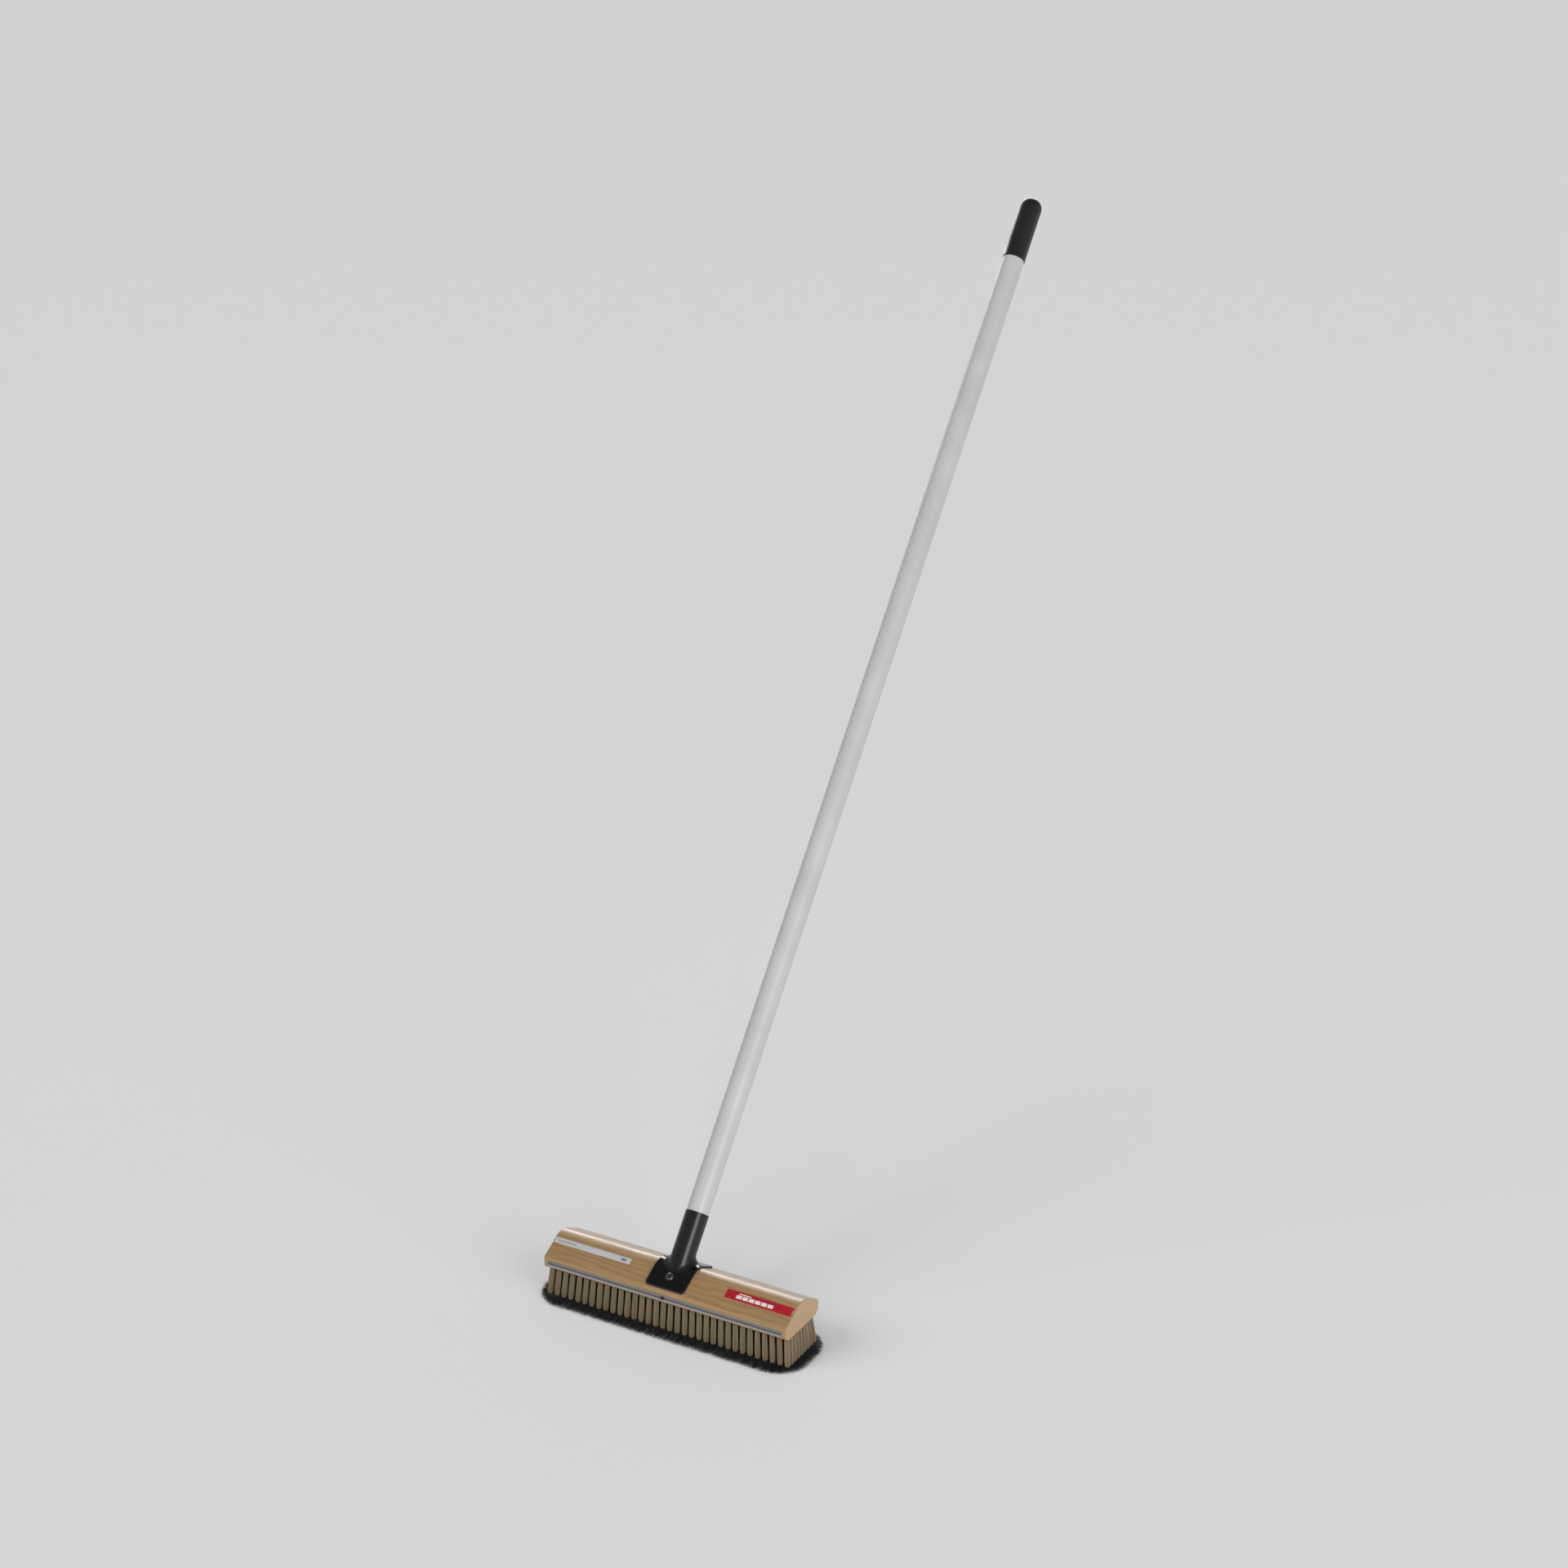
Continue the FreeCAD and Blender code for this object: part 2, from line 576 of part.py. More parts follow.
for build in (wood_block, tufts, tuft_staples, fibre_fan, scraper_strip, handle_bracket, screws,
              handle_tube, threaded_tip, end_grip):
    build()
label_plate("red_label")
label_plate("silver_label")
doc.recompute()

failed = [item.Name for item in doc.Objects if {"Invalid", "Error"} & set(item.State)]
if failed:
    raise RuntimeError("failed: " + ", ".join(failed))
for item in SUBPARTS:
    if item.Shape.isNull() or not item.Shape.isValid():
        raise RuntimeError(f"{item.Label} has no valid shape")

os.makedirs("parts", exist_ok=True)
for item in SUBPARTS:
    item.Shape.exportStep(os.path.join("parts", f"{item.Label}.step"))
    print(item.Label, len(item.Shape.Solids), "solids", round(item.Shape.Volume), "mm3")
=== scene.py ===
"""Looks of the push broom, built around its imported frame.

Metres. +X runs along the block, -Y is the sweeping side, +Z is up, the floor is z = 0.
"""
import json
import math
import random
import bpy
from mathutils import Matrix, Vector


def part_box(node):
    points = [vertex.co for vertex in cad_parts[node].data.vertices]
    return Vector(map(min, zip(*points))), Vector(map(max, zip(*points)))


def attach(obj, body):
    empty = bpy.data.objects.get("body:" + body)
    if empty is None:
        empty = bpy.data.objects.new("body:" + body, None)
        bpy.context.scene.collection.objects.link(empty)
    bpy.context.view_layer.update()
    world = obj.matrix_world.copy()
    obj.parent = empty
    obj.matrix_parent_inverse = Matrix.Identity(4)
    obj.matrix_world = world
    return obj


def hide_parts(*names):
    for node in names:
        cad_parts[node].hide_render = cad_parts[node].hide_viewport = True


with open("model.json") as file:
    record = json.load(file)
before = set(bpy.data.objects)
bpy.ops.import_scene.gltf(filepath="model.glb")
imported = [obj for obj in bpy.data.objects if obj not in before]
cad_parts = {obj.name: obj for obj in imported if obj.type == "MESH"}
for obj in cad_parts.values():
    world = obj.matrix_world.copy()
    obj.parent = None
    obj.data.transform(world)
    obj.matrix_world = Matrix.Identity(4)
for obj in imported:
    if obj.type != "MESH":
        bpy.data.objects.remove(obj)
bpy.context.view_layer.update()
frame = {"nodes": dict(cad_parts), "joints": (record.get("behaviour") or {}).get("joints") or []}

MM = 0.001
SLOPE = math.radians(28.0)
FRONT_SLOPE = Vector((0, -math.sin(SLOPE), math.cos(SLOPE)))
REAR_SLOPE = Vector((0, math.sin(SLOPE), math.cos(SLOPE)))
HANDLE_JOINT = next(joint for joint in frame["joints"] if joint["name"] == "handle_unscrew")
HANDLE_AXIS = Vector(HANDLE_JOINT["axis"]).normalized()
HANDLE_FOOT = Vector(HANDLE_JOINT["pos_m"])


# ---------------------------------------------------------------- measuring the frame

def span(node, direction, origin=Vector((0, 0, 0))):
    """Lowest and highest reach of a CAD node along a direction."""
    reaches = [(v.co - origin).dot(direction) for v in frame["nodes"][node].data.vertices]
    return min(reaches), max(reaches)


def tip_of(node, direction):
    """The CAD node's furthest vertex along a direction."""
    return max((v.co for v in frame["nodes"][node].data.vertices), key=direction.dot).copy()


def facing(direction, origin):
    """Placement with local Z along the direction and local X along the block."""
    up = direction.normalized()
    across = Vector((1, 0, 0))
    return Matrix.Translation(origin) @ Matrix((across, up.cross(across), up)).transposed().to_4x4()


# ---------------------------------------------------------------- modelling helpers

def deselect():
    if bpy.context.object and bpy.context.object.mode != "OBJECT":
        bpy.ops.object.mode_set(mode="OBJECT")
    bpy.ops.object.select_all(action="DESELECT")


def activate(piece):
    deselect()
    piece.select_set(True)
    bpy.context.view_layer.objects.active = piece
    return piece


def edit(piece):
    activate(piece)
    bpy.ops.object.mode_set(mode="EDIT")
    bpy.ops.mesh.select_mode(type="FACE")
    bpy.ops.mesh.select_all(action="DESELECT")


def select_faces(piece, test):
    """In edit mode, select exactly the faces that pass the test."""
    bpy.ops.mesh.select_all(action="DESELECT")
    bpy.ops.object.mode_set(mode="OBJECT")
    for face in piece.data.polygons:
        face.select = test(face)
    bpy.ops.object.mode_set(mode="EDIT")


def settle(piece, placement=None, smooth=35.0):
    """Put the piece's place into its mesh and shade it."""
    activate(piece)
    if placement is not None:
        piece.matrix_world = placement
    bpy.ops.object.transform_apply(location=True, rotation=True, scale=True)
    bpy.ops.object.shade_smooth_by_angle(angle=math.radians(smooth))
    return piece


def add_modifier(piece, kind, **settings):
    activate(piece)
    modifier = piece.modifiers.new(kind.lower(), kind)
    for key, setting in settings.items():
        setattr(modifier, key, setting)
    bpy.ops.object.modifier_apply(modifier=modifier.name)


def turned(name, profile, steps=64):
    """A closed solid of revolution about local Z, drawn out ring by ring from its first ring.

    The profile is (radius, height) points. The first and last rings are closed flat.
    """
    (radius, height), *rings = profile
    deselect()
    bpy.ops.mesh.primitive_circle_add(vertices=steps, radius=radius, fill_type="NGON",
                                      location=(0, 0, height))
    piece = bpy.context.object
    piece.name = piece.data.name = name
    bpy.ops.object.transform_apply(location=True, rotation=False, scale=False)
    activate(piece)
    bpy.ops.object.mode_set(mode="EDIT")
    bpy.ops.mesh.select_mode(type="FACE")
    bpy.ops.mesh.select_all(action="SELECT")
    for next_radius, next_height in rings:
        bpy.ops.mesh.extrude_region_move(
            TRANSFORM_OT_translate={"value": (0, 0, next_height - height)})
        ratio = next_radius / radius
        bpy.ops.transform.resize(value=(ratio, ratio, 1), center_override=(0, 0, next_height))
        radius, height = next_radius, next_height
    bpy.ops.mesh.select_all(action="SELECT")
    bpy.ops.mesh.normals_make_consistent(inside=False)
    bpy.ops.object.mode_set(mode="OBJECT")
    return piece


def arc_points(centre, radius, start, end, steps):
    """(radius, height) points along an arc, angles in degrees."""
    angles = [math.radians(start + (end - start) * step / steps) for step in range(steps + 1)]
    return [(centre[0] + radius * math.cos(a), centre[1] + radius * math.sin(a)) for a in angles]


def finish_piece(piece, body, slot, material, *nodes):
    piece.data.materials.clear()
    piece.data.materials.append(material)
    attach(piece, body)
    if nodes:
        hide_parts(*nodes)
    return piece


# ---------------------------------------------------------------- shader groups

def new_group(name, inputs, outputs):
    """An empty shader group; inputs are (name, kind, default), outputs are (name, kind)."""
    group = bpy.data.node_groups.new(name, "ShaderNodeTree")
    for label, kind, default in inputs:
        socket = group.interface.new_socket(label, in_out="INPUT", socket_type=f"NodeSocket{kind}")
        if default is not None:
            socket.default_value = default
    for label, kind in outputs:
        group.interface.new_socket(label, in_out="OUTPUT", socket_type=f"NodeSocket{kind}")
    return group, group.nodes.new("NodeGroupInput"), group.nodes.new("NodeGroupOutput")


def feed(tree, socket, source):
    """Link a socket to another node's output, or set it to a value."""
    if isinstance(source, bpy.types.NodeSocket):
        tree.links.new(source, socket)
    else:
        socket.default_value = source


def node(tree, kind, settings=None, **inputs):
    """Add a shader node; an input is named by its label, or by its number as in _0."""
    made = tree.nodes.new(f"ShaderNode{kind}")
    for key, setting in (settings or {}).items():
        setattr(made, key, setting)
    for label, source in inputs.items():
        key = int(label[1:]) if label[1:].isdigit() else label.replace("_", " ")
        feed(tree, made.inputs[key], source)
    return made


def ramp(tree, factor, stops):
    made = node(tree, "ValToRGB", Fac=factor)
    elements = made.color_ramp.elements
    while len(elements) < len(stops):
        elements.new(0.5)
    for element, (place, colour) in zip(elements, stops):
        element.position = place
        element.color = (*colour, 1)
    return made.outputs["Color"]


def mix(tree, factor, first, second, blend="MIX"):
    made = node(tree, "Mix", {"data_type": "RGBA", "blend_type": blend})
    for index, source in ((0, factor), (6, first), (7, second)):
        feed(tree, made.inputs[index], source)
    return made.outputs[2]


def smooth_step(tree, value, start, end, rising=True):
    """A soft step between 0 and 1 as the value goes from start to end."""
    low, high = (0.0, 1.0) if rising else (1.0, 0.0)
    made = node(tree, "MapRange", {"interpolation_type": "SMOOTHSTEP"}, Value=value,
                From_Min=start, From_Max=end, To_Min=low, To_Max=high)
    return made.outputs[0]


def streak_group():
    """Fine streaks along local X: a mask from 0 to 1."""
    group, given, made = new_group("streaks", [
        ("Vector", "Vector", None), ("Across", "Float", 1500.0), ("Along", "Float", 20.0),
        ("Contrast", "Float", 1.0)], [("Mask", "Float")])
    scale = node(group, "CombineXYZ", X=given.outputs["Along"], Y=given.outputs["Across"],
                 Z=given.outputs["Across"])
    place = node(group, "VectorMath", {"operation": "MULTIPLY"}, _0=given.outputs["Vector"],
                 _1=scale.outputs[0])
    noise = node(group, "TexNoise", Vector=place.outputs[0], Scale=1.0, Detail=3.0, Roughness=0.6)
    centred = node(group, "Math", {"operation": "SUBTRACT"}, _0=noise.outputs["Fac"], _1=0.5)
    spread = node(group, "Math", {"operation": "MULTIPLY_ADD", "use_clamp": True},
                  _0=centred.outputs[0], _1=given.outputs["Contrast"], _2=0.5)
    group.links.new(spread.outputs[0], made.inputs["Mask"])
    return group


def wear_group():
    """Soft blotches and fine scuffs: a mask and a height."""
    group, given, made = new_group("wear", [
        ("Vector", "Vector", None), ("Blotch", "Float", 40.0), ("Grit", "Float", 900.0)],
        [("Mask", "Float"), ("Height", "Float")])
    blotch = node(group, "TexNoise", Vector=given.outputs["Vector"], Scale=given.outputs["Blotch"],
                  Detail=4.0, Roughness=0.65)
    grit = node(group, "TexNoise", Vector=given.outputs["Vector"], Scale=given.outputs["Grit"],
                Detail=2.0, Roughness=0.5)
    mask = node(group, "Math", {"operation": "MULTIPLY"}, _0=blotch.outputs["Fac"],
                _1=grit.outputs["Fac"])
    spread = node(group, "MapRange", Value=mask.outputs[0], From_Min=0.14, From_Max=0.42)
    group.links.new(spread.outputs[0], made.inputs["Mask"])
    group.links.new(grit.outputs["Fac"], made.inputs["Height"])
    return group


def wood_group():
    """Plain-sawn wood with its rings about an axis along X: colour, ring mask and pore height."""
    group, given, made = new_group("wood_grain", [
        ("Vector", "Vector", None), ("Early", "Color", (0.56, 0.36, 0.18, 1)),
        ("Late", "Color", (0.36, 0.21, 0.09, 1)), ("Pore", "Color", (0.20, 0.11, 0.05, 1)),
        ("Ring scale", "Float", 60.0)],
        [("Color", "Color"), ("Mask", "Float"), ("Height", "Float")])
    vector = given.outputs["Vector"]
    stretch = node(group, "VectorMath", {"operation": "MULTIPLY"}, _0=vector, _1=(5.0, 30.0, 30.0))
    sway = node(group, "TexNoise", Vector=stretch.outputs[0], Scale=1.0, Detail=4.0, Roughness=0.6)
    shift = node(group, "VectorMath", {"operation": "SCALE"}, _0=sway.outputs["Color"], Scale=0.02)
    moved = node(group, "VectorMath", {"operation": "ADD"}, _0=vector, _1=shift.outputs[0])
    rings = node(group, "TexWave", {"wave_type": "RINGS", "rings_direction": "X"},
                 Vector=moved.outputs[0], Scale=given.outputs["Ring scale"], Distortion=1.5,
                 Detail=3.0, Detail_Scale=0.8)
    late = smooth_step(group, rings.outputs["Fac"], 0.35, 1.0)
    fine = node(group, "VectorMath", {"operation": "MULTIPLY"}, _0=vector, _1=(14.0, 520.0, 520.0))
    line = node(group, "TexNoise", Vector=fine.outputs[0], Scale=1.0, Detail=3.0, Roughness=0.6)
    lines = node(group, "MapRange", Value=line.outputs["Fac"], From_Min=0.3, From_Max=0.7,
                 To_Min=0.0, To_Max=0.55)
    pores = node(group, "VectorMath", {"operation": "MULTIPLY"}, _0=vector,
                 _1=(90.0, 2600.0, 2600.0))
    pore = node(group, "TexNoise", Vector=pores.outputs[0], Scale=1.0, Detail=2.0, Roughness=0.6)
    fleck = node(group, "MapRange", Value=pore.outputs["Fac"], From_Min=0.58, From_Max=0.74,
                 To_Min=0.0, To_Max=0.3)
    broad = node(group, "TexNoise", Vector=stretch.outputs[0], Scale=0.35, Detail=2.0,
                 Roughness=0.5)
    drift = node(group, "MapRange", Value=broad.outputs["Fac"], From_Min=0.35, From_Max=0.65)
    body = mix(group, late, given.outputs["Early"], given.outputs["Late"])
    lined = mix(group, lines.outputs[0], body, given.outputs["Late"])
    warm = mix(group, drift.outputs[0], (1.0, 0.98, 0.95, 1), (0.88, 0.90, 0.92, 1))
    toned = mix(group, 1.0, lined, warm, "MULTIPLY")
    final = mix(group, fleck.outputs[0], toned, given.outputs["Pore"])
    group.links.new(final, made.inputs["Color"])
    group.links.new(late, made.inputs["Mask"])
    group.links.new(pore.outputs["Fac"], made.inputs["Height"])
    return group


STREAKS = streak_group()
WEAR = wear_group()
WOOD_GRAIN = wood_group()


def grouped(tree, group, **inputs):
    """Place a shared group in a material."""
    made = tree.nodes.new("ShaderNodeGroup")
    made.node_tree = group
    for label, source in inputs.items():
        feed(tree, made.inputs[label], source)
    return made


def new_material(name, **constants):
    """A material with its Principled shader; constants are set on the shader's own sockets."""
    material = bpy.data.materials.new(name)
    material.use_nodes = True
    shader = material.node_tree.nodes["Principled BSDF"]
    for label, number in constants.items():
        shader.inputs[label.replace("_", " ")].default_value = number
    return material, material.node_tree, shader


def object_vector(tree):
    return tree.nodes.new("ShaderNodeTexCoord").outputs["Object"]


def bumped(tree, shader, height, strength, distance):
    bump = node(tree, "Bump", Height=height, Strength=strength, Distance=distance)
    tree.links.new(bump.outputs["Normal"], shader.inputs["Normal"])


def roughness_from(tree, shader, mask, low, high):
    spread = node(tree, "MapRange", Value=mask, To_Min=low, To_Max=high)
    tree.links.new(spread.outputs[0], shader.inputs["Roughness"])


# ---------------------------------------------------------------- materials

def lacquered_wood():
    """Clear-lacquered block: low-contrast streaks along it, plainer on its ends, with painted light
    making the ends paler.
    """
    material, tree, shader = new_material("lacquered_wood", Coat_Weight=0.6, Coat_Roughness=0.28)
    place = node(tree, "Mapping", Vector=object_vector(tree), Location=(0.0, 0.05, 0.03))
    grain = grouped(tree, WOOD_GRAIN, Vector=place.outputs[0], Early=(0.410, 0.254, 0.114, 1),
                    Late=(0.320, 0.190, 0.081, 1))
    normal = tree.nodes.new("ShaderNodeTexCoord").outputs["Normal"]
    facing_out = node(tree, "SeparateXYZ", Vector=normal)
    along = node(tree, "Math", {"operation": "ABSOLUTE"}, _0=facing_out.outputs["X"])
    # Faces turned along X get one flat pale tone: plainer grain, and painted light that makes the
    # ends paler than the slopes.
    plain_end_and_painted_light = node(tree, "MapRange", Value=along.outputs[0], From_Min=0.6, From_Max=0.95,
                     To_Max=0.6)
    tone = mix(tree, plain_end_and_painted_light.outputs[0], grain.outputs["Color"], (0.47, 0.315, 0.165, 1))
    tree.links.new(tone, shader.inputs["Base Color"])
    roughness_from(tree, shader, grain.outputs["Mask"], 0.42, 0.55)
    bumped(tree, shader, grain.outputs["Height"], 0.25, 0.00008)
    return material


def fibre(name, pale, dark, roughness):
    """Bristle stock with streaks along its length."""
    material, tree, shader = new_material(name)
    turn = node(tree, "Mapping", Vector=object_vector(tree), Rotation=(0, math.pi / 2, 0))
    streaks = grouped(tree, STREAKS, Vector=turn.outputs[0], Across=1300.0, Along=25.0,
                      Contrast=1.5)
    tone = mix(tree, streaks.outputs["Mask"], dark, pale)
    tree.links.new(tone, shader.inputs["Base Color"])
    roughness_from(tree, shader, streaks.outputs["Mask"], roughness + 0.1, roughness - 0.1)
    return material


def enamel(name, colour, low, high, blotch=60.0, grit=1400.0, bump=0.2, **constants):
    """Paint or moulded plastic: uneven gloss and a fine orange-peel skin."""
    material, tree, shader = new_material(name, **constants)
    wear = grouped(tree, WEAR, Vector=object_vector(tree), Blotch=blotch, Grit=grit)
    shade = tuple(0.86 * part for part in colour[:3]) + (1,)
    tone = mix(tree, wear.outputs["Mask"], colour, shade)
    tree.links.new(tone, shader.inputs["Base Color"])
    roughness_from(tree, shader, wear.outputs["Mask"], low, high)
    bumped(tree, shader, wear.outputs["Height"], bump, 0.00005)
    return material


def bracket_plastic():
    """Moulded black saddle: polished plate, satin socket above it, one plastic, with painted shade
    making the plate darker than the socket.
    """
    material, tree, shader = new_material("bracket_plastic")
    vector = object_vector(tree)
    from_foot = node(tree, "VectorMath", {"operation": "SUBTRACT"}, _0=vector, _1=HANDLE_FOOT)
    up_socket = node(tree, "VectorMath", {"operation": "DOT_PRODUCT"}, _0=from_foot.outputs[0],
                     _1=HANDLE_AXIS)
    aside = node(tree, "VectorMath", {"operation": "CROSS_PRODUCT"}, _0=from_foot.outputs[0],
                 _1=HANDLE_AXIS)
    off_axis = node(tree, "VectorMath", {"operation": "LENGTH"}, _0=aside.outputs[0])
    near = smooth_step(tree, off_axis.outputs["Value"], 17 * MM, 24 * MM, rising=False)
    high = smooth_step(tree, up_socket.outputs["Value"], -16 * MM, -8 * MM)
    socket = node(tree, "Math", {"operation": "MULTIPLY"}, _0=near, _1=high)
    wear = grouped(tree, WEAR, Vector=vector, Blotch=70.0, Grit=1600.0)
    # Painted shade: the plate gets a darker black than the socket, though both are the one
    # moulding.
    tone = mix(tree, socket.outputs[0], (0.004, 0.004, 0.0045, 1), (0.009, 0.009, 0.0095, 1))
    tree.links.new(tone, shader.inputs["Base Color"])
    polish = node(tree, "MapRange", Value=wear.outputs["Mask"], To_Min=0.09, To_Max=0.15)
    satin = node(tree, "MapRange", Value=wear.outputs["Mask"], To_Min=0.30, To_Max=0.38)
    gloss = node(tree, "Mix", {"data_type": "FLOAT"}, _0=socket.outputs[0], _2=polish.outputs[0],
                 _3=satin.outputs[0])
    tree.links.new(gloss.outputs[0], shader.inputs["Roughness"])
    bumped(tree, shader, wear.outputs["Height"], 0.15, 0.00004)
    return material


def extruded_aluminium():
    """Strip with bright lips and painted shade darkening the channel between them."""
    material, tree, shader = new_material("extruded_aluminium", Metallic=0.85)
    vector = object_vector(tree)
    low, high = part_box("scraper_strip")
    rise = high.z - low.z
    height = node(tree, "SeparateXYZ", Vector=vector).outputs["Z"]
    # Painted shade: the band of the recessed groove between the lips gets a darker colour than the
    # lips.
    above = smooth_step(tree, height, high.z - 0.68 * rise, high.z - 0.60 * rise)
    below = smooth_step(tree, height, high.z - 0.20 * rise, high.z - 0.12 * rise, rising=False)
    painted_shade_channel = node(tree, "Math", {"operation": "MULTIPLY"}, _0=above, _1=below)
    streaks = grouped(tree, STREAKS, Vector=vector, Across=3200.0, Along=8.0, Contrast=1.6)
    lip = mix(tree, streaks.outputs["Mask"], (0.35, 0.345, 0.335, 1), (0.50, 0.49, 0.475, 1))
    painted_shade_trough = mix(tree, streaks.outputs["Mask"], (0.17, 0.175, 0.180, 1), (0.26, 0.265, 0.270, 1))
    tone = mix(tree, painted_shade_channel.outputs[0], lip, painted_shade_trough)
    tree.links.new(tone, shader.inputs["Base Color"])
    roughness_from(tree, shader, streaks.outputs["Mask"], 0.34, 0.5)
    bumped(tree, shader, streaks.outputs["Mask"], 0.15, 0.00004)
    return material


LACQUERED_WOOD = lacquered_wood()
TAN_FIBRE = fibre("tan_fibre", (0.300, 0.228, 0.142, 1), (0.18, 0.130, 0.077, 1), 0.52)
BLACK_FIBRE = fibre("black_fibre", (0.030, 0.030, 0.033, 1), (0.008, 0.008, 0.009, 1), 0.5)
BRACKET_PLASTIC = bracket_plastic()
SCREW_STEEL = enamel("blackened_steel", (0.17, 0.17, 0.175, 1), 0.28, 0.40, Metallic=0.9)
TUBE_PAINT = enamel("light_grey_powder_coat", (0.545, 0.545, 0.55, 1), 0.36, 0.5, blotch=18.0,
                    grit=1800.0, bump=0.08)
GRIP_VINYL = enamel("black_vinyl", (0.014, 0.014, 0.015, 1), 0.38, 0.5, grit=2400.0, bump=0.35)
TIP_PLASTIC = enamel("moulded_tip_plastic", (0.03, 0.03, 0.03, 1), 0.4, 0.55)
PIN_STEEL = enamel("dark_pin_steel", (0.04, 0.04, 0.045, 1), 0.3, 0.45, Metallic=0.6)
STAPLE_WIRE = enamel("staple_wire", (0.5, 0.5, 0.5, 1), 0.3, 0.4, Metallic=1.0)
ALUMINIUM = extruded_aluminium()
LABEL_RED = enamel("red_film", (0.42, 0.012, 0.022, 1), 0.30, 0.42, grit=2600.0, bump=0.1)
LABEL_SILVER = enamel("silver_film", (0.56, 0.55, 0.56, 1), 0.30, 0.44, grit=2600.0, bump=0.1)
WHITE_INK = enamel("white_ink", (0.80, 0.76, 0.76, 1), 0.4, 0.55, bump=0.1)
GREY_INK = enamel("grey_ink", (0.20, 0.20, 0.21, 1), 0.4, 0.5, bump=0.1)


def paint_cad_nodes():
    """Finishes for the CAD nodes that show as they are."""
    finishes = {"wood_block": LACQUERED_WOOD, "scraper_strip": ALUMINIUM,
                "handle_bracket": BRACKET_PLASTIC, "handle_tube": TUBE_PAINT,
                "threaded_tip": TIP_PLASTIC, "tuft_staples": STAPLE_WIRE}
    for name, finish in finishes.items():
        mesh = frame["nodes"][name].data
        mesh.materials.clear()
        mesh.materials.append(finish)


# ---------------------------------------------------------------- tufts and fibres

def strand_mesh(name, strands, radius, tip_share):
    """One piece from many thin closed strands, each a list of points, thinner at the tip."""
    curve = bpy.data.curves.new(name, "CURVE")
    curve.dimensions = "3D"
    curve.bevel_depth = radius
    curve.bevel_resolution = 0
    curve.use_fill_caps = True
    for points in strands:
        spline = curve.splines.new("POLY")
        spline.points.add(len(points) - 1)
        spline.points.foreach_set("co", [part for point in points for part in (*point, 1.0)])
        last = len(points) - 1
        spline.points.foreach_set("radius", [1 - (1 - tip_share) * (i / last) ** 3
                                             for i in range(len(points))])
    piece = bpy.data.objects.new(name, curve)
    bpy.context.scene.collection.objects.link(piece)
    activate(piece)
    bpy.ops.object.convert(target="MESH")
    return piece


def disc_spots(count, rng):
    """Even spots in a unit disc, a little disturbed, and their reach from its middle."""
    spots = []
    for index in range(count):
        reach = math.sqrt((index + 0.5) / count)
        angle = index * GOLDEN_ANGLE + rng.uniform(-0.25, 0.25)
        spots.append((Vector((reach * math.cos(angle), reach * math.sin(angle), 0)), reach))
    return spots


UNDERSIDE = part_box("wood_block")[0].z
ROOT_DEPTH = 8 * MM
DOWN = Vector((0, 0, -1))
TAN_FIBRES, BLACK_FIBRES, FRINGE_FIBRES = 118, 38, 5200
TAN_FIBRE_RADIUS, BLACK_FIBRE_RADIUS = 0.33 * MM, 0.30 * MM
LONG_ROW, BLACK_ROW, END_COLUMN = 34, 32, 7
TUFT_SPLAY = (0.02, 0.12)
FRINGE_CORNER = 45 * MM
FRINGE_INSET = 1.0 * MM
GOLDEN_ANGLE = math.pi * (3 - math.sqrt(5))


def tan_tuft(seed, length):
    """A stiff bundle hanging from the origin, fuller below, with a rounded end."""
    rng = random.Random(seed)
    strands = []
    for foot, reach in disc_spots(TAN_FIBRES, rng):
        lift = 2.6 * MM * reach ** 4 + rng.uniform(0, 0.5) * MM
        drift = Vector((rng.uniform(-0.25, 0.25), rng.uniform(-0.25, 0.25), 0)) * MM
        strands.append([foot * 2.9 * MM - DOWN * ROOT_DEPTH, foot * 3.05 * MM,
                        foot * 3.55 * MM + DOWN * 0.5 * length + drift,
                        foot * 3.85 * MM + DOWN * 0.85 * length + drift,
                        foot * (3.85 - 0.5 * reach ** 4) * MM + DOWN * (length - lift) + drift])
    return strand_mesh(f"tan_tuft_{seed}", strands, TAN_FIBRE_RADIUS, 0.85)


def black_tuft(seed, length):
    """A soft bundle hanging from the origin, opening out towards its tips."""
    rng = random.Random(seed)
    strands = []
    for foot, reach in disc_spots(BLACK_FIBRES, rng):
        stray = Vector((rng.uniform(-1, 1), rng.uniform(-1, 1), 0)) * MM
        lift = rng.uniform(0, 2.2) * MM
        strands.append([foot * 2.8 * MM - DOWN * ROOT_DEPTH, foot * 2.9 * MM,
                        foot * 3.6 * MM + DOWN * 0.65 * length + 0.3 * stray,
                        foot * 6.2 * MM + DOWN * (length - lift) + stray])
    return strand_mesh(f"black_tuft_{seed}", strands, BLACK_FIBRE_RADIUS, 0.5)


def tuft_roots(node, count, axis):
    """Centres of a row's tufts on the block's underside."""
    low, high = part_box(node)
    radius = min(high.x - low.x, high.y - low.y) / 2
    start = Vector((low.x + radius, low.y + radius, UNDERSIDE))
    end = Vector((high.x - radius, high.y - radius, UNDERSIDE))
    if axis == "x":
        start.y = end.y = (low.y + high.y) / 2
    else:
        start.x = end.x = (low.x + high.x) / 2
    return [start.lerp(end, index / (count - 1)) for index in range(count)]


